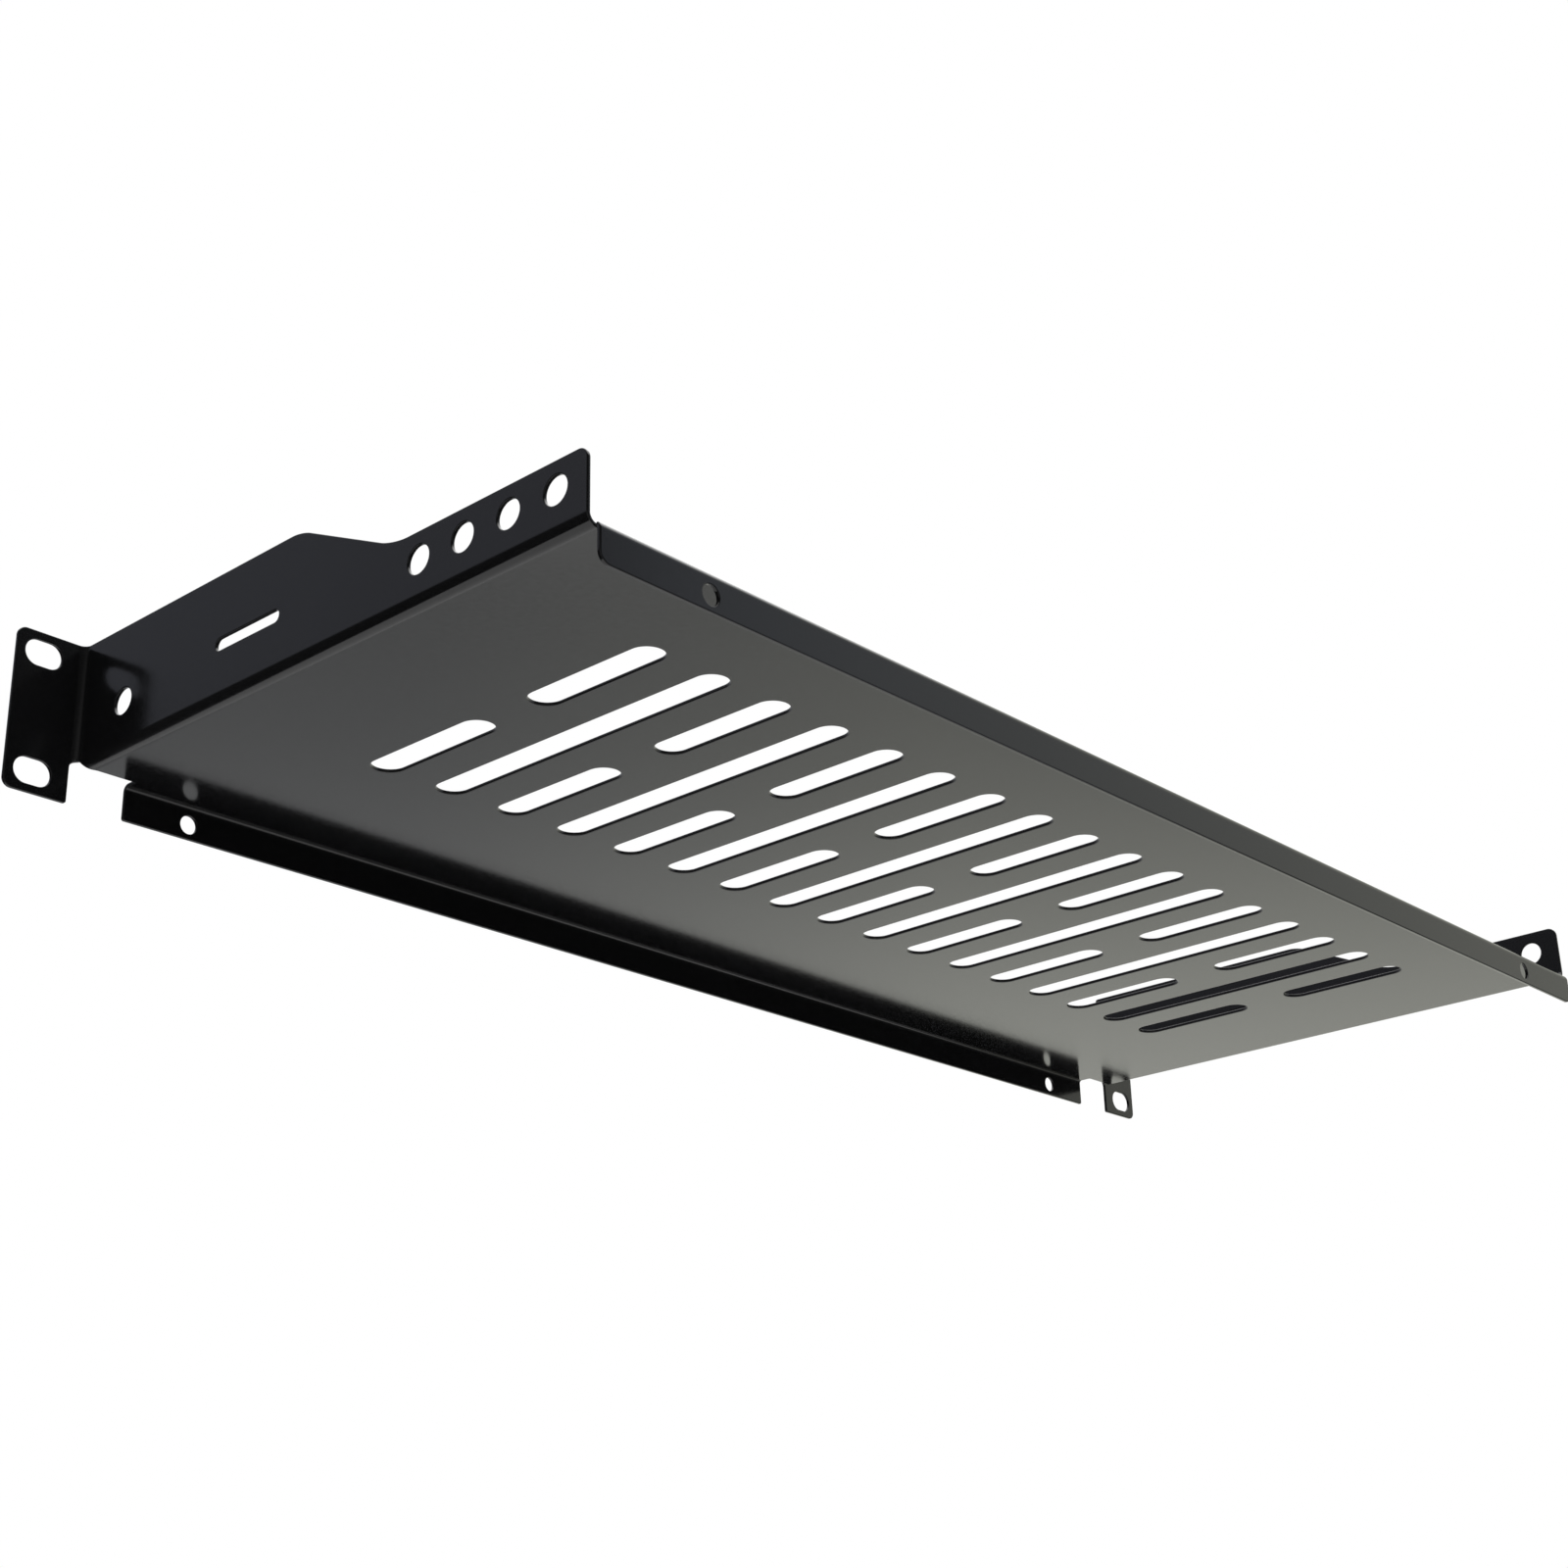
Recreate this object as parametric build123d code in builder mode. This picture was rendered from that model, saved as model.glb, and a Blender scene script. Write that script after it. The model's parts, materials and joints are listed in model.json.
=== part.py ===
"""One-unit rack shelf, folded from a single vented steel sheet.

Millimetres. +X runs across the rack, +Y to the rear and +Z up. The origin is the centre of the
four rack slots, on the back faces of the ears, which is where the shelf meets the rack's rails.
"""

import os

from build123d import *

# Steel sheet
sheet = 1.0
bend_inner = 2.0
bend_outer = bend_inner + sheet

# Rack ears, on the rack's own hole pattern. Widths are counted from the slots' centres
rack_hole_spacing = 465.1
rack_hole_pitch = 31.75
ear_slot_length = 10.4
ear_slot_width = 7.0
ear_slot_margin = 7.7
ear_slot_inset = 11.55
ear_height = 43.1
ear_corner = 2.5
ear_foot_corner = 0.7

# Tray between the walls, with a lip folded down at its front and rear
depth = 186.5
lip_height = 9.8
lip_setback = 14.65
lip_corner = 0.7
rear_lip_corner = 3.0
lip_hole_inset = 19.45
lip_hole_diameter = 5.0
lip_hole_up = 4.0

# Reliefs at the corners, where two folds meet
relief_depth = 2.4
relief_reach = 1.6
relief_corner = 2.0
plate_corner = 0.5
rear_relief_radius = 0.6
rear_slit = 0.6

# Side walls, high at the front and low at the rear
low_wall_height = 18.3
shoulder_y = 88.5
dip_y = 122.3
shoulder_radius = 16.0
dip_radius = 22.0
wall_setback = 1.0
wall_rear_corner = 2.8
wall_hole_diameter = 7.1
wall_hole_pitch = 14.55
wall_hole_count = 4
wall_hole_up = 11.3
wall_hole_rear_margin = 9.55
front_hole_y = 18.9
front_hole_up = 13.4
wall_slot_y = 69.25
wall_slot_up = 15.4
wall_slot_length = 24.4
wall_slot_width = 3.2

# Vents, in columns of one long slot or two short ones
vent_columns = 17
vent_pitch = 21.05
vent_width = 9.0
vent_short_length = 42.2
vent_gap = 15.55
vent_centre_y = 103.15

# Places that follow from the sizes
half_body = rack_hole_spacing / 2 - ear_slot_inset
half_ears = rack_hole_spacing / 2 + ear_slot_margin
half_lip = half_body - lip_setback
lip_hole_x = half_lip - lip_hole_inset
ear_top = ear_height / 2
foot = -ear_height / 2
plate_top = foot + lip_height
plate_under = plate_top - sheet
low_wall_top = plate_under + low_wall_height
ear_front = -sheet
front_tangent = ear_front + bend_outer
plate_front = front_tangent + relief_depth
rear_tangent = depth - bend_outer
wall_rear = depth - sheet - wall_setback
side_tangent = half_body - bend_outer
relief_side = half_body + relief_reach
relief_top = plate_under + bend_outer
wall_hole_z = plate_under + wall_hole_up
lip_hole_z = foot + lip_hole_up
vent_long_length = 2 * vent_short_length + vent_gap
vent_row_spacing = vent_short_length + vent_gap
wall_hole_row_centre = wall_rear - wall_hole_rear_margin - (wall_hole_count - 1) * wall_hole_pitch / 2
cut_reach = half_ears

# Corner relief: the notch that frees the ear, the side wall and the front lip from each other.
# Seen from the side, its top slopes down from the ear to the plate
with BuildPart() as front_relief:
    with BuildSketch(Plane.XZ.offset(2 * sheet)) as relief_front_view:
        with BuildLine():
            Polyline(
                (half_lip, foot - sheet),
                (half_lip, relief_top),
                (relief_side, relief_top),
                (relief_side, foot - sheet),
                close=True,
            )
        make_face()
        fillet(relief_front_view.vertices().group_by(Axis.Y)[-1].sort_by(Axis.X)[-1], relief_corner)
    extrude(amount=-(2 * sheet + plate_front))
    lip_side = front_relief.edges().filter_by(Axis.Z).sort_by(Axis.X)[0:2]
    fillet(lip_side.sort_by(Axis.Y)[-1], plate_corner)
    with BuildSketch(Plane.YZ) as relief_side_view:
        with BuildLine():
            Polyline(
                (-2 * sheet, foot - sheet),
                (-2 * sheet, relief_top),
                (0, relief_top),
                (plate_front, plate_top),
                (plate_front, foot - sheet),
                close=True,
            )
        make_face()
        fillet(relief_side_view.vertices().group_by(Axis.Y)[-1].sort_by(Axis.X)[-1], relief_corner)
    extrude(amount=half_ears, mode=Mode.INTERSECT)

with BuildPart() as shelf:
    # Plate and both side walls, one section bent up at its sides
    with BuildSketch(Plane.XZ.offset(-front_tangent)):
        with BuildLine():
            FilletPolyline(
                (-half_body, ear_top),
                (-half_body, plate_under),
                (half_body, plate_under),
                (half_body, ear_top),
                radius=bend_outer,
            )
            offset(amount=sheet, side=Side.LEFT)
        make_face()
    extrude(amount=-(wall_rear - front_tangent))

    # Side view of the walls: level, down the slope, then level again to the rounded rear corner
    with BuildSketch(Plane.YZ) as wall_outline:
        with BuildLine():
            Polyline(
                (front_tangent, plate_under),
                (front_tangent, ear_top),
                (shoulder_y, ear_top),
                (dip_y, low_wall_top),
                (wall_rear, low_wall_top),
                (wall_rear, plate_under),
                close=True,
            )
        make_face()
        slope_corners = wall_outline.vertices().sort_by(Axis.X)[2:4]
        fillet(slope_corners[0], shoulder_radius)
        fillet(slope_corners[1], dip_radius)
        fillet(wall_outline.vertices().group_by(Axis.X)[-1].sort_by(Axis.Y)[-1], wall_rear_corner)
    extrude(amount=half_body, both=True, mode=Mode.INTERSECT)

    # Behind the plate's rear fold line, only the walls go on, with a slit beside each
    with BuildSketch(Plane.XY.offset(plate_under)):
        with Locations((0, rear_tangent)):
            Rectangle(2 * side_tangent + rear_slit, bend_outer, align=(Align.CENTER, Align.MIN))
    extrude(amount=bend_outer, mode=Mode.SUBTRACT)

    # Front lip, folded down
    with BuildSketch(Plane.YZ):
        with BuildLine():
            FilletPolyline(
                (plate_front, plate_top),
                (ear_front, plate_top),
                (ear_front, foot),
                radius=bend_outer,
            )
            offset(amount=sheet, side=Side.LEFT)
        make_face()
    extrude(amount=half_lip, both=True)

    # Rear lip, folded down between the walls
    with BuildSketch(Plane.YZ):
        with BuildLine():
            FilletPolyline(
                (rear_tangent - sheet, plate_top),
                (depth, plate_top),
                (depth, foot),
                radius=bend_outer,
            )
            offset(amount=sheet, side=Side.RIGHT)
        make_face()
    extrude(amount=side_tangent - rear_slit / 2, both=True)

    # Ears, folded out from the front ends of the walls
    with BuildSketch(Plane.XY.offset(foot)):
        with BuildLine():
            ear_bend = JernArc(
                start=(half_body - sheet, front_tangent),
                tangent=(0, -1),
                radius=bend_outer,
                arc_size=90,
            )
            Line(ear_bend @ 1, (half_ears, ear_front))
            offset(amount=sheet, side=Side.LEFT)
        make_face()
        mirror(about=Plane.YZ)
    extrude(amount=ear_height)

    # Reliefs at the four corners of the plate
    add(front_relief.part, mode=Mode.SUBTRACT)
    add(front_relief.part.mirror(Plane.YZ), mode=Mode.SUBTRACT)
    with BuildSketch(Plane.XY.offset(relief_top)):
        with GridLocations(2 * side_tangent, 0, 2, 1):
            with Locations((0, rear_tangent)):
                Circle(rear_relief_radius)
    extrude(amount=-2 * bend_outer, mode=Mode.SUBTRACT)

    # Vents: long slots in every second column, pairs of short ones between them
    with BuildSketch(Plane.XY.offset(plate_top)):
        with Locations((0, vent_centre_y)):
            with GridLocations(2 * vent_pitch, 0, vent_columns // 2, 1):
                SlotOverall(vent_long_length, vent_width, rotation=90)
            with GridLocations(2 * vent_pitch, vent_row_spacing, vent_columns // 2 + 1, 2):
                SlotOverall(vent_short_length, vent_width, rotation=90)
    extrude(amount=-sheet, mode=Mode.SUBTRACT)

    # Rack slots
    with BuildSketch(Plane.XZ):
        with GridLocations(rack_hole_spacing, rack_hole_pitch, 2, 2):
            SlotOverall(ear_slot_length, ear_slot_width)
    extrude(amount=sheet, mode=Mode.SUBTRACT)

    # Screw holes through both lips
    with BuildSketch(Plane.XZ.offset(sheet)):
        with Locations((0, lip_hole_z)):
            with GridLocations(2 * lip_hole_x, 0, 2, 1):
                Circle(lip_hole_diameter / 2)
    extrude(amount=-(depth + sheet), mode=Mode.SUBTRACT)

    # Holes through both walls: a row at the rear, one beside the ear, and a tie slot
    with BuildSketch(Plane.YZ):
        with Locations((wall_hole_row_centre, wall_hole_z)):
            with GridLocations(wall_hole_pitch, 0, wall_hole_count, 1):
                Circle(wall_hole_diameter / 2)
        with Locations((front_hole_y, plate_under + front_hole_up)):
            Circle(wall_hole_diameter / 2)
        with Locations((wall_slot_y, plate_under + wall_slot_up)):
            SlotOverall(wall_slot_length, wall_slot_width)
    extrude(amount=cut_reach, both=True, mode=Mode.SUBTRACT)

    # Rounded corners of the ears and the lips
    cross_edges = shelf.edges().filter_by(Axis.Y)
    head_edges = cross_edges.group_by(Axis.Z)[-1].sort_by(Axis.X)
    foot_edges = cross_edges.group_by(Axis.Z)[0]
    front_foot_edges = foot_edges.filter_by_position(Axis.Y, ear_front, front_tangent).sort_by(Axis.X)
    rear_foot_edges = foot_edges.filter_by_position(Axis.Y, rear_tangent, depth)
    fillet([head_edges[0], head_edges[-1], front_foot_edges[0], front_foot_edges[-1]], ear_corner)
    fillet([front_foot_edges[1], front_foot_edges[-2]], ear_foot_corner)
    fillet([front_foot_edges[2], front_foot_edges[-3]], lip_corner)
    fillet(rear_foot_edges, rear_lip_corner)

shelf.part.label = "shelf"

os.makedirs("parts", exist_ok=True)
export_step(shelf.part, "parts/shelf.step")
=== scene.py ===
"""Looks of the one-unit rack shelf: its folded sheet in black powder coat, and the studio round it.

The sheet is cut as a flat blank with its openings, its cut edges are rounded as the coat rounds them,
and it is then folded line by line, so it is made here the way the real shelf is made.
"""

import json
import math

import bmesh
import bpy
from mathutils import Matrix, Vector


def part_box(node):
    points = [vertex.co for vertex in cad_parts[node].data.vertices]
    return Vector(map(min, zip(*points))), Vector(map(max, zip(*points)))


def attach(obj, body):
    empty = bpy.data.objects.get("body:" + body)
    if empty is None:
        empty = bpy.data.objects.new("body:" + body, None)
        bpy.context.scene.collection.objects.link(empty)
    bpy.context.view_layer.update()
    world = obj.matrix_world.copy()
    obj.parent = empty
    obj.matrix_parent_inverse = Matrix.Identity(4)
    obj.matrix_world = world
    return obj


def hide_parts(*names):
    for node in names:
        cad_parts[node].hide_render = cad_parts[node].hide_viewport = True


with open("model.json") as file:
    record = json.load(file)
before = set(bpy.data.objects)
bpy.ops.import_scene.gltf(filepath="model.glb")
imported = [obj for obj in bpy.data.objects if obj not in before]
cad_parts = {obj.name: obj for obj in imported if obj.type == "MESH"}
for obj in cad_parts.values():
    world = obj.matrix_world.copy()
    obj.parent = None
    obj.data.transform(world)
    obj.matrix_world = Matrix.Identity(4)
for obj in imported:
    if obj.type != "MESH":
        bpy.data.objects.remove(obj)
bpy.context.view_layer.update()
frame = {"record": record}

bl_info = {
    "name": "Rack Shelf",
    "version": (1, 0, 0),
    "blender": (4, 5, 0),
    "location": "View3D > Sidebar > Rack Shelf",
    "description": "Folds the sheet of a vented one-unit rack shelf, coats it and sets it in a studio",
    "category": "Object",
}

MILLIMETRE = 0.001
SHELF_LOW, SHELF_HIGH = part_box("shelf")
MOUNTS = {mount["name"]: mount for mount in frame["record"]["mounts"]}

# Where the photograph was taken from, in metres, its heading, pitch and roll in degrees, and the width
# of the camera's sensor in millimetres
CAMERA_PLACE = (0.516331, 0.497899, -0.245850)
CAMERA_ANGLES = (131.583, 22.201, -1.471)
SENSOR_WIDTH = 36

# Light tent round the shelf: its radius in metres and the sides of its mesh
TENT_RADIUS = 1.1
TENT_SEGMENTS = 48

# Heights on the tent are sines of the angle above the horizon. The seam leans, so its height is measured
# along SEAM_UP. The cloth below the seam glows by DIM_SHARES at and outside the DIM_HEIGHTS
SEAM_UP = (-0.16, 0, 1)
SEAM_SOFTNESS = 0.07
ROOF_SOFTNESS = 0.15
DIM_HEIGHTS = (-0.45, -0.26)
DIM_SHARES = (0.85, 1.25)

# Glow of the cloth by heading, in degrees from +x, below the seam and above it
LOW_CLOTH = (
    (-180, (0.75, 0.76, 0.68)),
    (-147, (0.84, 0.85, 0.78)),
    (-124, (0.57, 0.58, 0.58)),
    (-92, (0.50, 0.51, 0.53)),
    (-58, (0.12, 0.12, 0.13)),
    (-45, (0.03, 0.03, 0.03)),
    (-20, (0.03, 0.03, 0.03)),
    (10, (0.20, 0.20, 0.20)),
    (80, (0.20, 0.20, 0.20)),
    (105, (0.05, 0.05, 0.05)),
    (152, (0.05, 0.05, 0.05)),
    (180, (0.75, 0.76, 0.68)),
)
HIGH_CLOTH = (
    (-180, (0.84, 0.84, 0.76)),
    (-100, (0.40, 0.41, 0.44)),
    (-50, (0.25, 0.26, 0.30)),
    (-28, (0.33, 0.34, 0.39)),
    (-8, (0.05, 0.05, 0.05)),
    (110, (0.04, 0.04, 0.04)),
    (120, (0.47, 0.50, 0.56)),
    (152, (0.72, 0.73, 0.65)),
)


def length(name, description, default):
    """A length that the user can change, in metres."""
    return bpy.props.FloatProperty(
        name=name, description=description, default=default, min=0.0, precision=5,
        subtype="DISTANCE", unit="LENGTH",
    )


class ShelfSizes(bpy.types.PropertyGroup):
    """Sizes of the folded sheet."""

    sheet: length("Sheet", "Thickness of the steel with its coat", 0.001)
    bend: length("Bend radius", "Inner radius of the bends of the walls and the ears", 0.002)
    lip_bend: length("Lip bend radius", "Inner radius of the bends of both lips", 0.001)
    body_width: length("Body width", "Outside width over the side walls", 0.442)
    lip_height: length("Lip height", "From a lip's free edge to the top of the plate", 0.0098)
    lip_width: length("Front lip width", "Width of the front lip", 0.4127)
    lip_corner: length("Front lip corner", "Radius of the front lip's lower corners", 0.0007)
    rear_lip_corner: length("Rear lip corner", "Radius of the rear lip's lower corners", 0.003)
    ear_corner: length("Ear corner", "Radius of the ears' outer corners", 0.0025)
    ear_foot_corner: length("Ear foot corner", "Radius of the ears' inner lower corners", 0.0007)
    relief: length("Relief depth", "How far the corner relief reaches into the plate", 0.0024)
    relief_reach: length("Relief reach", "How far the corner relief reaches past the wall's face", 0.0016)
    relief_drop: length("Relief drop", "Height of the wall's bend that the corner relief leaves", 0.0005)
    relief_slope: length("Relief slope", "How far the corner relief slopes back along the wall", 0.003)
    relief_corner: length("Relief corner", "Radius inside the corner reliefs", 0.0016)
    plate_corner: length("Plate corner", "Radius beside the ends of the front lip", 0.0005)
    rear_lip_reach: length("Rear lip reach", "How far the rear lip reaches past a wall's fold line", 0.0012)
    rear_lip_shoulder: length("Rear lip shoulder", "Radius at the upper ends of the rear lip", 0.0009)
    rear_slit: length("Rear slit", "Width of the slit between the rear lip and a wall", 0.0003)
    rear_slit_depth: length("Rear slit depth", "How far the slit reaches into the plate", 0.0002)
    wall_setback: length("Wall setback", "From the rear lip's inner face to the walls' rear edge", 0.001)
    low_wall: length("Low wall height", "Height of the walls at the rear, from the plate's underside", 0.0183)
    shoulder: length("Shoulder", "Distance of the wall's shoulder behind the ears", 0.0885)
    dip: length("Dip", "Distance of the foot of the wall's slope behind the ears", 0.1223)
    shoulder_radius: length("Shoulder radius", "Radius at the top of the slope", 0.016)
    dip_radius: length("Dip radius", "Radius at the foot of the slope", 0.022)
    wall_corner: length("Wall rear corner", "Radius of the walls' upper rear corners", 0.0028)
    edge_round: length("Edge rounding", "Radius that the coat leaves on every cut edge", 0.00022)


class ShelfOpenings(bpy.types.PropertyGroup):
    """Sizes and places of the vents, holes and slots."""

    vent_width: length("Vent width", "Width of a vent, whose ends are round", 0.009)
    vent_length: length("Vent length", "Length of a short vent", 0.0422)
    vent_gap: length("Vent gap", "Sheet left between two short vents", 0.01555)
    vent_pitch: length("Vent pitch", "Distance from one column of vents to the next", 0.02105)
    vent_centre: length("Vent centre", "Middle of the columns, behind the ears", 0.10315)
    vent_columns: bpy.props.IntProperty(
        name="Vent columns", description="Number of columns of vents", default=17, min=1
    )
    front_hole_place: length("Front hole place", "Distance of the wall's front hole behind the ears", 0.0189)
    front_hole_up: length("Front hole height", "Height of the front hole above the plate's underside", 0.0134)
    tie_slot_place: length("Tie slot place", "Distance of the tie slot's middle behind the ears", 0.06925)
    tie_slot_up: length("Tie slot height", "Height of the tie slot above the plate's underside", 0.0154)
    tie_slot_length: length("Tie slot length", "Length of the tie slot", 0.0244)
    tie_slot_width: length("Tie slot width", "Width of the tie slot", 0.0032)


class ShelfCoat(bpy.types.PropertyGroup):
    """Colour and finish of the powder coat."""

    colour: bpy.props.FloatVectorProperty(
        name="Coat colour", description="Colour of the powder coat", subtype="COLOR", size=3,
        min=0.0, max=1.0, default=(0.0090, 0.0092, 0.0100),
    )
    roughness: bpy.props.FloatProperty(
        name="Coat roughness", description="Roughness of the coat between its pimples", default=0.14,
        min=0.0, max=1.0, subtype="FACTOR",
    )
    peel: length("Peel size", "Distance from one pimple of the coat to the next", 0.0016)


class StudioSettings(bpy.types.PropertyGroup):
    """Floor, light and camera."""

    floor_drop: length("Floor drop", "Distance of the floor below the shelf's feet", 0.62)
    floor_colour: bpy.props.FloatVectorProperty(
        name="Floor colour", description="Colour of the floor", subtype="COLOR", size=3,
        min=0.0, max=1.0, default=(0.86, 0.86, 0.86),
    )
    floor_glow: bpy.props.FloatProperty(
        name="Floor glow", description="Share of the white backdrop that shows in the middle of the floor",
        default=0.45, min=0.0, max=1.0, subtype="FACTOR",
    )
    seam: bpy.props.FloatProperty(
        name="Seam", description="Angle above the horizon at which the tent's upper cloth starts",
        default=math.radians(11), subtype="ANGLE", unit="ROTATION",
    )
    roof: bpy.props.FloatProperty(
        name="Roof", description="Angle above the horizon at which the tent's roof starts",
        default=math.radians(48), subtype="ANGLE", unit="ROTATION",
    )
    roof_glow: bpy.props.FloatProperty(
        name="Roof glow", description="Brightness of the tent's roof", default=2.4, min=0.0,
    )
    lens: bpy.props.FloatProperty(
        name="Lens", description="Focal length on a sensor 36 mm wide", default=55.198, min=1.0,
        subtype="DISTANCE_CAMERA", unit="CAMERA",
    )


# Steps of each bend, each round corner and each rounded cut edge
BEND_STEPS = 12
CORNER_STEPS = 10
EDGE_STEPS = 3

# In millimetres: the flat strip beside each bend, the shortest edge of an outline, and how near counts
# as on a line
HOLD_STRIP = 0.3
SHORT_EDGE = 0.01
NEAR = 1e-3

# Angle past which an edge of the flat plate is a cut edge, and radius inside a slit in slit widths
SHARP = math.radians(50)
SLIT_ROUND = 0.4

# Powder coat: noise values between which its tint and gloss vary, how far they vary, how many pimples
# wide a patch of tint is, and the pimples' strength and height
TINT_RANGE = (0.35, 0.65)
TINT_SHARES = (0.9, 1.1)
TINT_PATCH = 25
GLOSS_RANGE = (0.3, 0.7)
GLOSS_SPREAD = (-0.02, 0.03)
PIMPLE_STRENGTH = 0.12
PIMPLE_HEIGHT = 0.00004


def bend_length(radius):
    """Length of blank that a right-angled bend of that middle radius takes up, folded in steps."""
    return 2 * BEND_STEPS * radius * math.sin(math.pi / 4 / BEND_STEPS)


class Blank:
    """Places on the flat blank, in millimetres, measured on the middle of the sheet.

    The blank lies as the plate does, +x across and +y to the rear, and all that is folded is laid out flat.
    """

    def __init__(self, sizes):
        mm = {name: getattr(sizes, name) / MILLIMETRE for name in sizes.__annotations__}
        self.size = mm
        self.radius = mm["bend"] + mm["sheet"] / 2
        allowance = bend_length(self.radius)
        lip_allowance = bend_length(mm["lip_bend"] + mm["sheet"] / 2)
        outer = mm["bend"] + mm["sheet"]
        lip_outer = mm["lip_bend"] + mm["sheet"]
        low = SHELF_LOW / MILLIMETRE
        high = SHELF_HIGH / MILLIMETRE
        self.foot = low.z
        self.plate_under = low.z + mm["lip_height"] - mm["sheet"]
        self.ear_bend = low.y + outer
        self.ear_bend_end = self.ear_bend - allowance
        self.front_bend = low.y + lip_outer
        self.rear_bend = high.y - lip_outer
        self.wall_rear = high.y - mm["sheet"] - mm["wall_setback"]
        self.side_bend = mm["body_width"] / 2 - outer
        self.wall_start = self.side_bend + allowance
        self.wall_start_z = self.plate_under + outer
        self.lip_start = self.front_bend - lip_allowance
        self.rear_lip_start = self.rear_bend + lip_allowance
        self.lip_start_z = self.plate_under - mm["lip_bend"]
        self.rear_lip_end = self.side_bend + mm["rear_lip_reach"]
        self.ear_start = mm["body_width"] / 2 + mm["bend"]
        self.ear_end = self.on_ear(high.x)
        self.wall_top = self.on_wall(high.z)
        self.low_top = self.on_wall(self.plate_under + mm["low_wall"])
        self.ear_foot = self.on_wall(self.foot)
        self.lip_edge = self.lip_start - (self.lip_start_z - self.foot)
        self.rear_lip_edge = self.rear_lip_start + (self.lip_start_z - self.foot)
        self.relief_end = self.ear_bend + mm["relief"]
        self.relief_top = self.wall_start - mm["relief_drop"]
        ear_turn = math.acos(1 - (mm["relief_reach"] + mm["sheet"] / 2) / self.radius)
        self.relief_side = self.ear_bend - self.radius * ear_turn

    def on_wall(self, height):
        """Blank x of a height z on the right wall or ear."""
        return self.wall_start + height - self.wall_start_z

    def on_ear(self, across):
        """Blank y of a place x on the right ear."""
        return self.ear_bend_end - (across - self.ear_start)

    def on_front_lip(self, height):
        """Blank y of a height z on the front lip."""
        return self.lip_start - (self.lip_start_z - height)

    def on_rear_lip(self, height):
        """Blank y of a height z on the rear lip."""
        return self.rear_lip_start + (self.lip_start_z - height)

    def outline(self):
        """Corners (x, y, radius) of the whole blank, anticlockwise from the front lip's right end."""
        mm = self.size
        half_lip = mm["lip_width"] / 2
        slit_end = self.side_bend - mm["rear_slit_depth"]
        slit_lip = self.wall_rear + mm["rear_slit"]
        slit_round = SLIT_ROUND * mm["rear_slit"]
        right = [
            (half_lip, self.lip_edge, mm["lip_corner"]),
            (half_lip, self.relief_end, mm["plate_corner"]),
            (self.side_bend, self.relief_end, mm["relief_corner"]),
            (self.relief_top, self.relief_end - mm["relief_slope"], mm["relief_corner"]),
            (self.relief_top, self.relief_side, mm["relief_corner"]),
            (self.ear_foot, self.relief_side, mm["ear_foot_corner"]),
            (self.ear_foot, self.ear_end, mm["ear_corner"]),
            (self.wall_top, self.ear_end, mm["ear_corner"]),
            (self.wall_top, mm["shoulder"], mm["shoulder_radius"]),
            (self.low_top, mm["dip"], mm["dip_radius"]),
            (self.low_top, self.wall_rear, mm["wall_corner"]),
            (slit_end, self.wall_rear, slit_round),
            (slit_end, slit_lip, slit_round),
            (self.rear_lip_end, slit_lip, mm["rear_lip_shoulder"]),
            (self.rear_lip_end, self.rear_lip_edge, mm["rear_lip_corner"]),
        ]
        left = [(-x, y, radius) for x, y, radius in reversed(right)]
        return right + left


def fillet_offset(before, corner, after, radius):
    """How far from a corner a round of that radius starts."""
    turn = (corner - before).angle(after - corner)
    return radius * math.tan(turn / 2)


def add_face(bm, corners):
    """A flat face through corners (x, y, radius), each rounded to its radius."""
    others = set(bm.faces)
    places = [Vector((x, y, 0)) for x, y, radius in corners]
    verts = [bm.verts.new(place) for place in places]
    bm.faces.new(verts)
    for index, vert in enumerate(verts):
        radius = corners[index][2]
        if radius > 0:
            after = places[(index + 1) % len(places)]
            offset = fillet_offset(places[index - 1], places[index], after, radius)
            bmesh.ops.bevel(
                bm, geom=[vert], offset=offset, offset_type="OFFSET", segments=CORNER_STEPS,
                profile=0.5, affect="VERTICES", material=-1, clamp_overlap=False,
            )
    face = next(face for face in bm.faces if face not in others)
    bmesh.ops.remove_doubles(bm, verts=face.verts[:], dist=SHORT_EDGE)
    return next(face for face in bm.faces if face not in others)


def add_rim(bm, face, width):
    """Turns a face into a rim of that width along its inside, and gives the rim's inner and outer edges."""
    rim = bmesh.ops.inset_region(
        bm, faces=[face], thickness=width, depth=0, use_boundary=True, use_even_offset=True,
    )
    inner = face.edges[:]
    outer = [edge for part in rim["faces"] for edge in part.edges if len(edge.link_faces) == 1]
    bmesh.ops.delete(bm, geom=[face], context="FACES_ONLY")
    return inner, outer


def rectangle(x, y, across, along, radius):
    """Corners of an upright rectangle with rounded corners."""
    return [
        (x + across / 2, y - along / 2, radius),
        (x + across / 2, y + along / 2, radius),
        (x - across / 2, y + along / 2, radius),
        (x - across / 2, y - along / 2, radius),
    ]


def spread(count, pitch):
    """Places of a row, centred on zero."""
    return [(index - (count - 1) / 2) * pitch for index in range(count)]


def vents(openings):
    """Rectangles (x, y, across, along, radius) of all vents: one long, or two short ones, in each column."""
    width = openings.vent_width / MILLIMETRE
    corner = width / 2
    short = openings.vent_length / MILLIMETRE
    gap = openings.vent_gap / MILLIMETRE
    centre = openings.vent_centre / MILLIMETRE
    step = (short + gap) / 2
    for index, x in enumerate(spread(openings.vent_columns, openings.vent_pitch / MILLIMETRE)):
        if index % 2:
            yield x, centre, width, 2 * short + gap, corner
        else:
            yield x, centre - step, width, short, corner
            yield x, centre + step, width, short, corner


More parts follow.
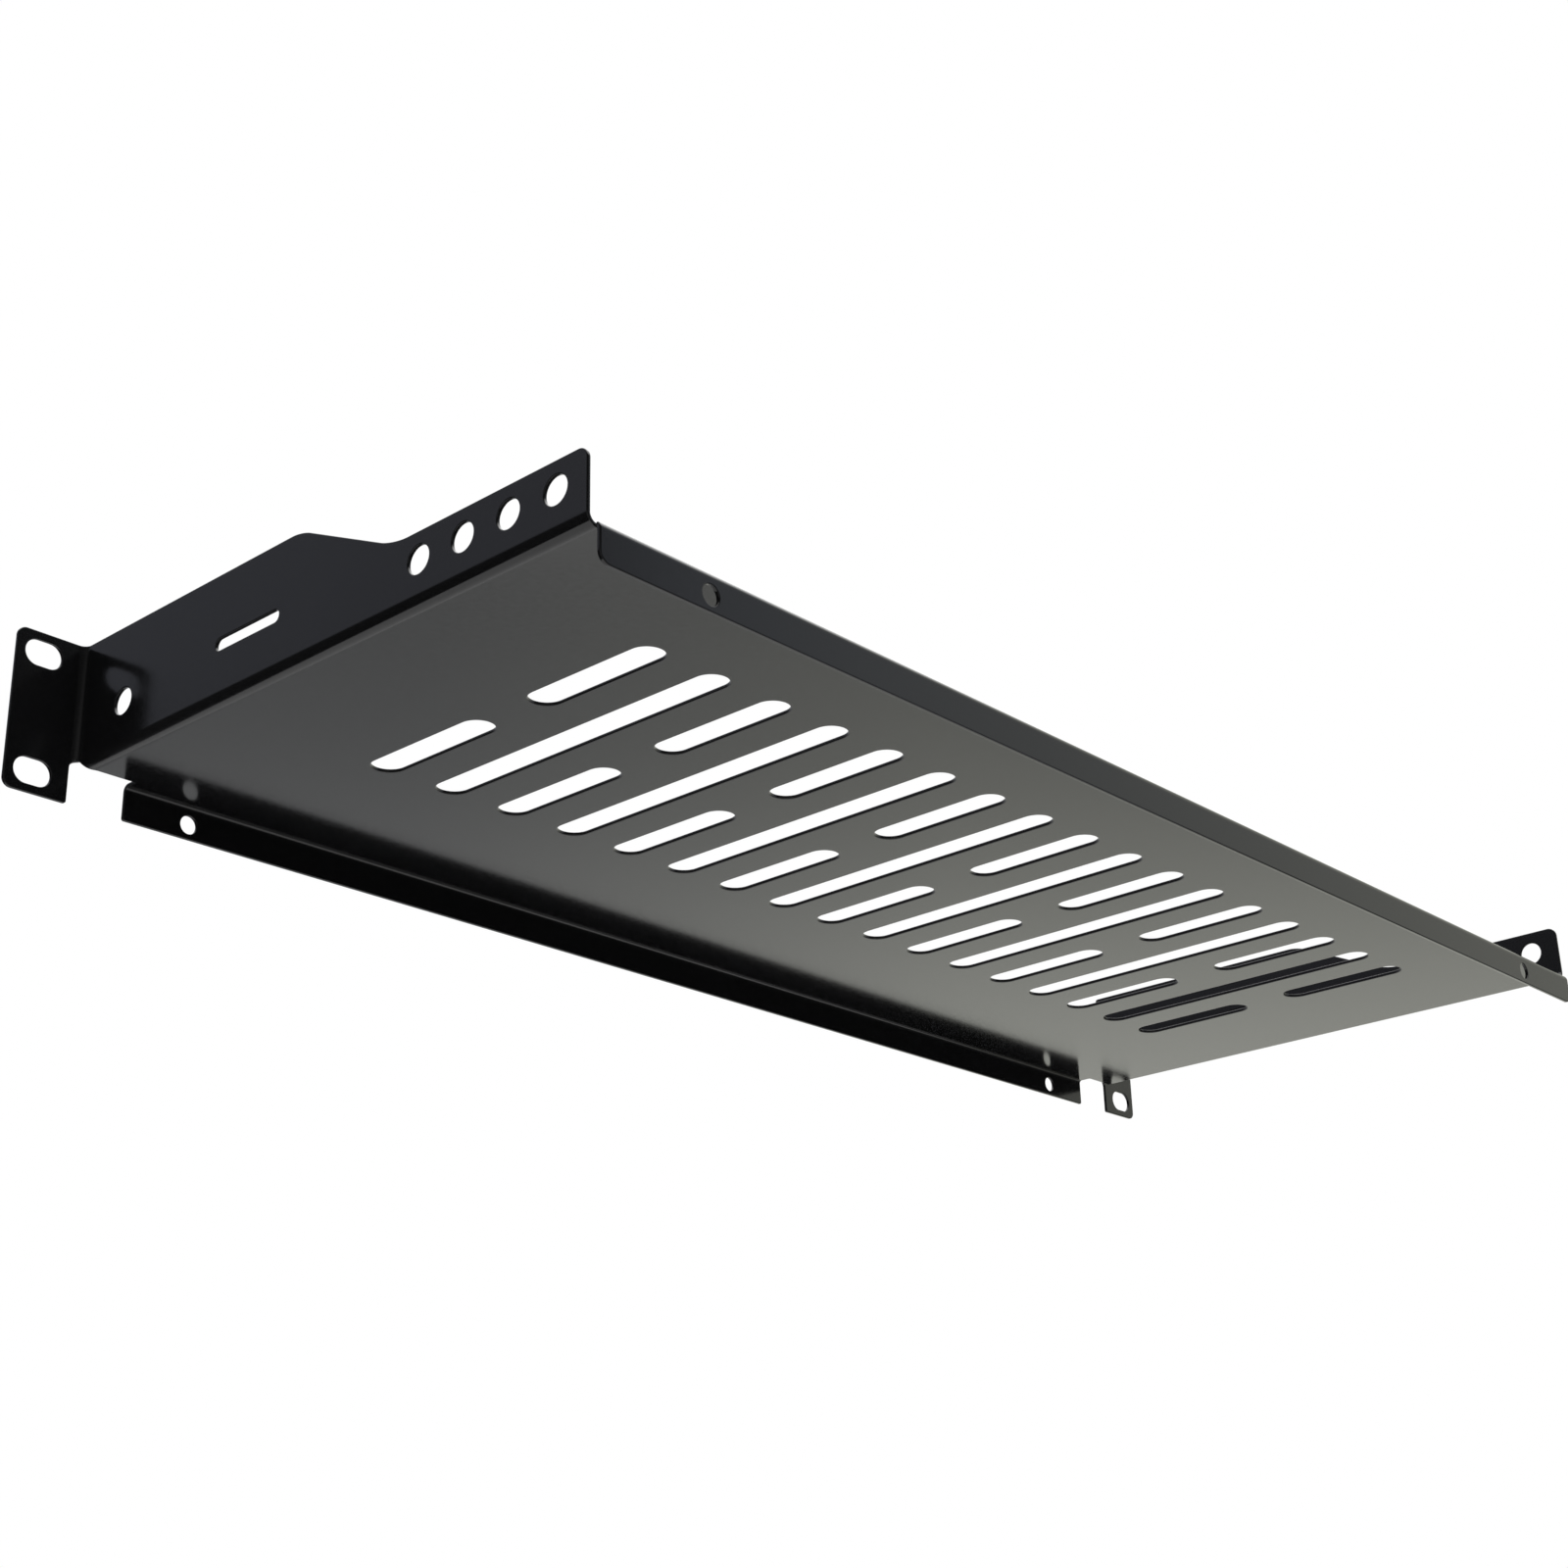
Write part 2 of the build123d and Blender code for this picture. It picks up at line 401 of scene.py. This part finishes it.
def right_openings(blank, openings):
    """Rectangles of the openings in the right ear, wall and lip ends."""
    rack = MOUNTS["rack_slots"]["dims"]
    lips = MOUNTS["front_lip_holes"]
    walls = MOUNTS["right_wall_outer_holes"]
    inner_walls = MOUNTS["right_wall_inner_holes"]
    slot_across = 2 * rack["hole_r_mm"]
    for height in (-rack["spacing_y_mm"] / 2, rack["spacing_y_mm"] / 2):
        yield (
            blank.on_wall(height), blank.on_ear(rack["spacing_x_mm"] / 2),
            slot_across, rack["slot_length_mm"], slot_across / 2,
        )
    lip_hole = 2 * lips["dims"]["hole_r_mm"]
    lip_x = lips["dims"]["spacing_x_mm"] / 2
    lip_z = lips["pos_m"][2] / MILLIMETRE
    for y in (blank.on_front_lip(lip_z), blank.on_rear_lip(lip_z)):
        yield lip_x, y, lip_hole, lip_hole, lip_hole / 2
    hole = 2 * walls["dims"]["hole_r_mm"]
    row_x = blank.on_wall(walls["pos_m"][2] / MILLIMETRE)
    row_y = walls["pos_m"][1] / MILLIMETRE
    for pair in (walls, inner_walls):
        step = pair["dims"]["spacing_x_mm"] / 2
        yield row_x, row_y - step, hole, hole, hole / 2
        yield row_x, row_y + step, hole, hole, hole / 2
    front_x = blank.on_wall(blank.plate_under + openings.front_hole_up / MILLIMETRE)
    yield front_x, openings.front_hole_place / MILLIMETRE, hole, hole, hole / 2
    slot_x = blank.on_wall(blank.plate_under + openings.tie_slot_up / MILLIMETRE)
    slot_width = openings.tie_slot_width / MILLIMETRE
    yield (
        slot_x, openings.tie_slot_place / MILLIMETRE,
        slot_width, openings.tie_slot_length / MILLIMETRE, slot_width / 2,
    )


def flat_blank(blank, openings):
    """The whole blank as a flat plate with its edges rounded, in millimetres."""
    bm = bmesh.new()
    rim = 2 * blank.size["edge_round"]
    fill_edges, _ = add_rim(bm, add_face(bm, blank.outline()), rim)
    right = list(right_openings(blank, openings))
    left = [(-x, *rest) for x, *rest in right]
    for x, y, across, along, radius in [*vents(openings), *right, *left]:
        face = add_face(bm, rectangle(x, y, across + 2 * rim, along + 2 * rim, radius + rim))
        _, outside = add_rim(bm, face, rim)
        fill_edges += outside
    bmesh.ops.triangle_fill(bm, edges=fill_edges, use_beauty=True, use_dissolve=False, normal=(0, 0, 1))
    bmesh.ops.recalc_face_normals(bm, faces=bm.faces[:])

    sheet = blank.size["sheet"]
    bmesh.ops.translate(bm, verts=bm.verts[:], vec=(0, 0, sheet / 2))
    copy = bmesh.ops.extrude_face_region(bm, geom=bm.faces[:], use_keep_orig=True)
    lower = [part for part in copy["geom"] if isinstance(part, bmesh.types.BMVert)]
    bmesh.ops.translate(bm, verts=lower, vec=(0, 0, -sheet))
    bmesh.ops.recalc_face_normals(bm, faces=bm.faces[:])
    cut_edges = [edge for edge in bm.edges if edge.calc_face_angle() > SHARP]
    bmesh.ops.bevel(
        bm, geom=cut_edges, offset=blank.size["edge_round"], offset_type="OFFSET", segments=EDGE_STEPS,
        profile=0.5, affect="EDGES", material=-1, clamp_overlap=False,
    )
    bmesh.ops.remove_doubles(bm, verts=bm.verts[:], dist=NEAR)
    return bm


def bend_lines(start, end):
    """Places of the lines that a bend is folded at, from its start to its end."""
    return [start + (end - start) * step / BEND_STEPS for step in range(BEND_STEPS + 1)]


def cut(bm, place, across, part):
    """Cuts the faces of a part of the sheet at one place. The part says which vertices belong to it."""
    faces = [face for face in bm.faces if all(part(vert.co) for vert in face.verts)]
    edges = dict.fromkeys(edge for face in faces for edge in face.edges)
    verts = dict.fromkeys(vert for face in faces for vert in face.verts)
    bmesh.ops.bisect_plane(
        bm, geom=[*verts, *edges, *faces], dist=NEAR, plane_co=across * place, plane_no=across,
    )


def score(bm, places, across, part):
    """Cuts a part at each bend line, and at a narrow strip beside the first and the last."""
    strip = math.copysign(HOLD_STRIP, places[-1] - places[0])
    for place in [places[0] - strip] + places + [places[-1] + strip]:
        cut(bm, place, across, part)


def fold(bm, flap, across, places, axis, angle):
    """Folds a flap at each bend line in turn, the outermost first, so that the bend comes out round.

    The flap is a list of vertices, each with its place on the flat blank. Vertices beyond a line turn with
    it, and those on the line turn half as far, which keeps the sheet's thickness through the bend.
    """
    outwards = math.copysign(1, places[-1] - places[0])
    step = angle / BEND_STEPS
    last = len(places) - 1
    for index in reversed(range(len(places))):
        place = places[index]
        beyond = [vert for vert, flat in flap if (flat - place) * outwards > NEAR]
        on_line = [vert for vert, flat in flap if abs(flat - place) <= NEAR]
        turn = step / 2 if index in (0, last) else step
        for verts, amount in ((beyond, turn), (on_line, step / 2 if index else 0)):
            bmesh.ops.rotate(bm, verts=verts, cent=across * place, matrix=Matrix.Rotation(amount, 3, axis))


def fold_all(bm, blank):
    """Scores and folds the lips and the ears, then the side walls with the ears on them.

    Every flap's vertices are picked while the sheet is flat. To a wall, its whole ear lies at the wall's top
    edge, beyond all fold lines, so that the ear turns as one.
    """
    across_x = Vector((1, 0, 0))
    across_y = Vector((0, 1, 0))
    quarter = math.pi / 2
    half_lip = blank.size["lip_width"] / 2 + NEAR
    ahead = blank.ear_bend + HOLD_STRIP + NEAR
    lip_lines = bend_lines(blank.front_bend, blank.lip_start)
    ear_lines = bend_lines(blank.ear_bend, blank.ear_bend_end)
    rear_lines = bend_lines(blank.rear_bend, blank.rear_lip_start)
    side_lines = bend_lines(blank.side_bend, blank.wall_start)

    def anywhere(place):
        return True

    def on_lip(place):
        return place.y < ahead and abs(place.x) < half_lip

    def on_ears(place):
        return place.y < ahead and abs(place.x) > half_lip

    cut(bm, blank.ear_bend + HOLD_STRIP, across_y, anywhere)
    score(bm, lip_lines, across_y, on_lip)
    score(bm, ear_lines, across_y, on_ears)
    score(bm, rear_lines, across_y, anywhere)
    score(bm, side_lines, across_x, anywhere)
    score(bm, side_lines, -across_x, anywhere)

    front_lip = [(vert, vert.co.y) for vert in bm.verts if on_lip(vert.co)]
    ears = [(vert, vert.co.y) for vert in bm.verts if on_ears(vert.co)]
    rear_lip = [
        (vert, vert.co.y) for vert in bm.verts
        if vert.co.y > blank.wall_rear + NEAR and abs(vert.co.x) < blank.rear_lip_end + NEAR
    ]
    ear_verts = dict.fromkeys(vert for vert, place in ears if place < blank.ear_bend + NEAR)
    walls = {
        side: [
            (vert, side * vert.co.x) for vert in bm.verts
            if side * vert.co.x > blank.side_bend - NEAR and vert not in ear_verts
            and vert.co.y < blank.wall_rear + NEAR
        ] + [(vert, blank.wall_top) for vert in ear_verts if side * vert.co.x > 0]
        for side in (-1, 1)
    }
    fold(bm, front_lip, across_y, lip_lines, "X", quarter)
    fold(bm, ears, across_y, ear_lines, "X", quarter)
    fold(bm, rear_lip, across_y, rear_lines, "X", -quarter)
    for side, wall in walls.items():
        fold(bm, wall, side * across_x, side_lines, "Y", -side * quarter)


def folded_sheet(sizes, openings):
    """The whole folded sheet as a closed bmesh, in metres."""
    blank = Blank(sizes)
    bm = flat_blank(blank, openings)
    fold_all(bm, blank)
    bmesh.ops.remove_doubles(bm, verts=bm.verts[:], dist=NEAR)
    middle = blank.plate_under + blank.size["sheet"] / 2
    bmesh.ops.translate(bm, verts=bm.verts[:], vec=(0, 0, middle))
    bmesh.ops.scale(bm, verts=bm.verts[:], vec=(MILLIMETRE, MILLIMETRE, MILLIMETRE))
    return bm


def add_object(name, bm):
    """A smooth-shaded object from a bmesh, at the origin."""
    mesh = bpy.data.meshes.new(name)
    bm.to_mesh(mesh)
    bm.free()
    mesh.shade_smooth()
    thing = bpy.data.objects.new(name, mesh)
    bpy.context.scene.collection.objects.link(thing)
    return thing


def coat_material(coat):
    """Black powder coat: a smooth semi-gloss film with fine shallow pimples."""
    material = bpy.data.materials.new("powder_coat")
    material.use_nodes = True
    nodes = material.node_tree.nodes
    links = material.node_tree.links
    shader = nodes["Principled BSDF"]
    shader.inputs["Specular IOR Level"].default_value = 0.5
    place = nodes.new("ShaderNodeTexCoord")

    pimples = nodes.new("ShaderNodeTexNoise")
    pimples.inputs["Scale"].default_value = 1 / coat.peel
    pimples.inputs["Detail"].default_value = 2.0
    pimples.inputs["Roughness"].default_value = 0.45
    links.new(place.outputs["Object"], pimples.inputs["Vector"])

    film = nodes.new("ShaderNodeTexNoise")
    film.inputs["Scale"].default_value = 1 / (TINT_PATCH * coat.peel)
    film.inputs["Detail"].default_value = 3.0
    links.new(place.outputs["Object"], film.inputs["Vector"])

    tint = nodes.new("ShaderNodeValToRGB")
    for element, position, share in zip(tint.color_ramp.elements, TINT_RANGE, TINT_SHARES):
        element.position = position
        element.color = (*(share * part for part in coat.colour), 1)
    links.new(film.outputs["Fac"], tint.inputs["Fac"])
    links.new(tint.outputs["Color"], shader.inputs["Base Color"])

    gloss = nodes.new("ShaderNodeMapRange")
    gloss.inputs["From Min"].default_value, gloss.inputs["From Max"].default_value = GLOSS_RANGE
    gloss.inputs["To Min"].default_value = coat.roughness + GLOSS_SPREAD[0]
    gloss.inputs["To Max"].default_value = coat.roughness + GLOSS_SPREAD[1]
    links.new(pimples.outputs["Fac"], gloss.inputs["Value"])
    links.new(gloss.outputs["Result"], shader.inputs["Roughness"])

    bump = nodes.new("ShaderNodeBump")
    bump.inputs["Strength"].default_value = PIMPLE_STRENGTH
    bump.inputs["Distance"].default_value = PIMPLE_HEIGHT
    links.new(pimples.outputs["Fac"], bump.inputs["Height"])
    links.new(bump.outputs["Normal"], shader.inputs["Normal"])
    return material


class RACKSHELF_OT_sheet(bpy.types.Operator):
    """Folds the shelf from its flat blank and coats it"""

    bl_idname = "rackshelf.sheet"
    bl_label = "Folded Sheet"

    def execute(self, context):
        scene = context.scene
        sizes = scene.rack_shelf_sizes
        sheet = add_object("shelf_sheet", folded_sheet(sizes, scene.rack_shelf_openings))
        sheet.data.materials.append(coat_material(scene.rack_shelf_coat))
        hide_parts("shelf")
        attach(sheet, "root")
        return {"FINISHED"}


def floor_radius(settings):
    """Radius at which the tent stands on the floor."""
    return math.sqrt(TENT_RADIUS ** 2 - (SHELF_LOW.z - settings.floor_drop) ** 2)


def floor_material(settings):
    """Pale matt floor, which keeps the object's shadow and fades into the white backdrop at its rim."""
    material = bpy.data.materials.new("studio_floor")
    material.use_nodes = True
    nodes = material.node_tree.nodes
    links = material.node_tree.links
    shader = nodes["Principled BSDF"]
    shader.inputs["Base Color"].default_value = (*settings.floor_colour, 1)
    shader.inputs["Roughness"].default_value = 0.9
    shader.inputs["Specular IOR Level"].default_value = 0.0

    place = nodes.new("ShaderNodeTexCoord")
    level = nodes.new("ShaderNodeVectorMath")
    level.operation = "MULTIPLY"
    level.inputs[1].default_value = (1, 1, 0)
    links.new(place.outputs["Object"], level.inputs[0])
    distance = nodes.new("ShaderNodeVectorMath")
    distance.operation = "LENGTH"
    links.new(level.outputs["Vector"], distance.inputs[0])
    fade = nodes.new("ShaderNodeMapRange")
    fade.interpolation_type = "SMOOTHSTEP"
    fade.inputs["From Max"].default_value = floor_radius(settings)
    fade.inputs["To Min"].default_value = settings.floor_glow
    links.new(distance.outputs["Value"], fade.inputs["Value"])

    path = nodes.new("ShaderNodeLightPath")
    seen = nodes.new("ShaderNodeMath")
    seen.operation = "MAXIMUM"
    links.new(path.outputs["Is Camera Ray"], seen.inputs[0])
    links.new(path.outputs["Is Glossy Ray"], seen.inputs[1])
    share = nodes.new("ShaderNodeMath")
    share.operation = "MULTIPLY"
    links.new(fade.outputs["Result"], share.inputs[0])
    links.new(seen.outputs["Value"], share.inputs[1])
    white = nodes.new("ShaderNodeEmission")
    mix = nodes.new("ShaderNodeMixShader")
    links.new(share.outputs["Value"], mix.inputs["Fac"])
    links.new(shader.outputs["BSDF"], mix.inputs[1])
    links.new(white.outputs["Emission"], mix.inputs[2])
    links.new(mix.outputs["Shader"], nodes["Material Output"].inputs["Surface"])
    return material


def cloth(nodes, links, heading, stops):
    """Colour of a ring of cloth by heading, through stops (degrees, colour)."""
    ramp = nodes.new("ShaderNodeValToRGB")
    elements = ramp.color_ramp.elements
    while len(elements) < len(stops):
        elements.new(1)
    for element, (degrees, colour) in zip(elements, stops):
        element.position = (degrees + 180) / 360
        element.color = (*colour, 1)
    links.new(heading, ramp.inputs["Fac"])
    return ramp.outputs["Color"]


def blend(nodes, links, height, angle, softness, low, high):
    """Colour low below an angle above the horizon, colour high above it, and a soft change between them."""
    step = nodes.new("ShaderNodeMapRange")
    step.interpolation_type = "SMOOTHSTEP"
    step.inputs["From Min"].default_value = math.sin(angle) - softness
    step.inputs["From Max"].default_value = math.sin(angle) + softness
    links.new(height, step.inputs["Value"])
    mix = nodes.new("ShaderNodeMix")
    mix.data_type = "RGBA"
    links.new(step.outputs["Result"], mix.inputs["Factor"])
    links.new(low, mix.inputs["A"])
    links.new(high, mix.inputs["B"])
    return mix.outputs["Result"]


def tent_material(settings):
    """Glowing cloth of the tent, which changes with the heading and at the seam, and its brighter roof."""
    material = bpy.data.materials.new("tent_cloth")
    material.use_nodes = True
    nodes = material.node_tree.nodes
    links = material.node_tree.links
    nodes.remove(nodes["Principled BSDF"])
    place = nodes.new("ShaderNodeTexCoord")
    way = nodes.new("ShaderNodeVectorMath")
    way.operation = "NORMALIZE"
    links.new(place.outputs["Object"], way.inputs[0])
    split = nodes.new("ShaderNodeSeparateXYZ")
    links.new(way.outputs["Vector"], split.inputs["Vector"])
    angle = nodes.new("ShaderNodeMath")
    angle.operation = "ARCTAN2"
    links.new(split.outputs["Y"], angle.inputs[0])
    links.new(split.outputs["X"], angle.inputs[1])
    heading = nodes.new("ShaderNodeMapRange")
    heading.inputs["From Min"].default_value = -math.pi
    heading.inputs["From Max"].default_value = math.pi
    links.new(angle.outputs["Value"], heading.inputs["Value"])

    low = cloth(nodes, links, heading.outputs["Result"], LOW_CLOTH)
    shade = nodes.new("ShaderNodeMapRange")
    shade.inputs["From Min"].default_value, shade.inputs["From Max"].default_value = DIM_HEIGHTS
    shade.inputs["To Min"].default_value, shade.inputs["To Max"].default_value = DIM_SHARES
    links.new(split.outputs["Z"], shade.inputs["Value"])
    shaded = nodes.new("ShaderNodeVectorMath")
    shaded.operation = "SCALE"
    links.new(low, shaded.inputs[0])
    links.new(shade.outputs["Result"], shaded.inputs["Scale"])
    high = cloth(nodes, links, heading.outputs["Result"], HIGH_CLOTH)
    tilted = nodes.new("ShaderNodeVectorMath")
    tilted.operation = "DOT_PRODUCT"
    tilted.inputs[1].default_value = SEAM_UP
    links.new(way.outputs["Vector"], tilted.inputs[0])
    wall = blend(
        nodes, links, tilted.outputs["Value"], settings.seam, SEAM_SOFTNESS, shaded.outputs["Vector"], high
    )
    roof = nodes.new("ShaderNodeRGB")
    roof.outputs["Color"].default_value = (*[settings.roof_glow] * 3, 1)
    whole = blend(
        nodes, links, split.outputs["Z"], settings.roof, ROOF_SOFTNESS, wall, roof.outputs["Color"]
    )
    glow = nodes.new("ShaderNodeEmission")
    links.new(whole, glow.inputs["Color"])
    links.new(glow.outputs["Emission"], nodes["Material Output"].inputs["Surface"])
    return material


def add_stage(name, bm, material):
    """A piece of the studio, which is not part of the shelf."""
    thing = add_object(name, bm)
    thing.data.materials.append(material)
    return thing


def add_floor(settings):
    """A round floor as wide as the tent."""
    bm = bmesh.new()
    bmesh.ops.create_circle(bm, cap_ends=True, segments=TENT_SEGMENTS, radius=floor_radius(settings))
    bmesh.ops.translate(bm, verts=bm.verts[:], vec=(0, 0, SHELF_LOW.z - settings.floor_drop))
    add_stage("studio_floor", bm, floor_material(settings))


def add_tent(settings):
    """A dome of glowing cloth round the shelf and down to the floor, which all its faces reflect."""
    bm = bmesh.new()
    bmesh.ops.create_uvsphere(bm, u_segments=TENT_SEGMENTS, v_segments=TENT_SEGMENTS // 2, radius=TENT_RADIUS)
    bmesh.ops.bisect_plane(
        bm, geom=bm.verts[:] + bm.edges[:] + bm.faces[:], plane_co=(0, 0, SHELF_LOW.z - settings.floor_drop),
        plane_no=(0, 0, 1), clear_inner=True,
    )
    tent = add_stage("studio_tent", bm, tent_material(settings))
    tent.visible_camera = False


def white_world():
    """White backdrop, which is seen past the tent but lights nothing inside it."""
    world = bpy.data.worlds.new("studio_world")
    world.use_nodes = True
    world.node_tree.nodes["Background"].inputs["Color"].default_value = (1, 1, 1, 1)
    return world


def add_camera(settings):
    """Camera at the photograph's viewing angle."""
    camera_data = bpy.data.cameras.new("camera")
    camera_data.lens = settings.lens
    camera_data.sensor_width = SENSOR_WIDTH
    camera = bpy.data.objects.new("camera", camera_data)
    heading, pitch, roll = (math.radians(angle) for angle in CAMERA_ANGLES)
    turn = (
        Matrix.Rotation(heading, 4, "Z")
        @ Matrix.Rotation(math.pi / 2 + pitch, 4, "X")
        @ Matrix.Rotation(roll, 4, "Z")
    )
    camera.matrix_world = Matrix.Translation(CAMERA_PLACE) @ turn
    bpy.context.scene.collection.objects.link(camera)
    return camera


class RACKSHELF_OT_stage(bpy.types.Operator):
    """Sets the floor, the light and the camera round the shelf"""

    bl_idname = "rackshelf.stage"
    bl_label = "Studio"

    def execute(self, context):
        settings = context.scene.rack_shelf_studio
        add_floor(settings)
        add_tent(settings)
        context.scene.world = white_world()
        context.scene.camera = add_camera(settings)
        context.scene.view_settings.view_transform = "Standard"
        return {"FINISHED"}


class RACKSHELF_PT_panel(bpy.types.Panel):
    """Lists the shelf's operators and sizes in the sidebar."""

    bl_label = "Rack Shelf"
    bl_idname = "RACKSHELF_PT_panel"
    bl_space_type = "VIEW_3D"
    bl_region_type = "UI"
    bl_category = "Rack Shelf"

    def draw(self, context):
        layout = self.layout
        for operator in OPERATORS:
            layout.operator(operator.bl_idname)
        for group in GROUPS:
            settings = getattr(context.scene, group)
            for name in settings.__annotations__:
                layout.prop(settings, name)


OPERATORS = (RACKSHELF_OT_sheet, RACKSHELF_OT_stage)
GROUPS = {
    "rack_shelf_sizes": ShelfSizes,
    "rack_shelf_openings": ShelfOpenings,
    "rack_shelf_coat": ShelfCoat,
    "rack_shelf_studio": StudioSettings,
}


def register():
    for kind in (*GROUPS.values(), *OPERATORS, RACKSHELF_PT_panel):
        bpy.utils.register_class(kind)
    for name, kind in GROUPS.items():
        setattr(bpy.types.Scene, name, bpy.props.PointerProperty(type=kind))


def unregister():
    for name in GROUPS:
        delattr(bpy.types.Scene, name)
    for kind in (RACKSHELF_PT_panel, *OPERATORS, *GROUPS.values()):
        bpy.utils.unregister_class(kind)


def main():
    register()
    bpy.ops.rackshelf.sheet()
    bpy.ops.rackshelf.stage()


if __name__ == "__main__":
    main()
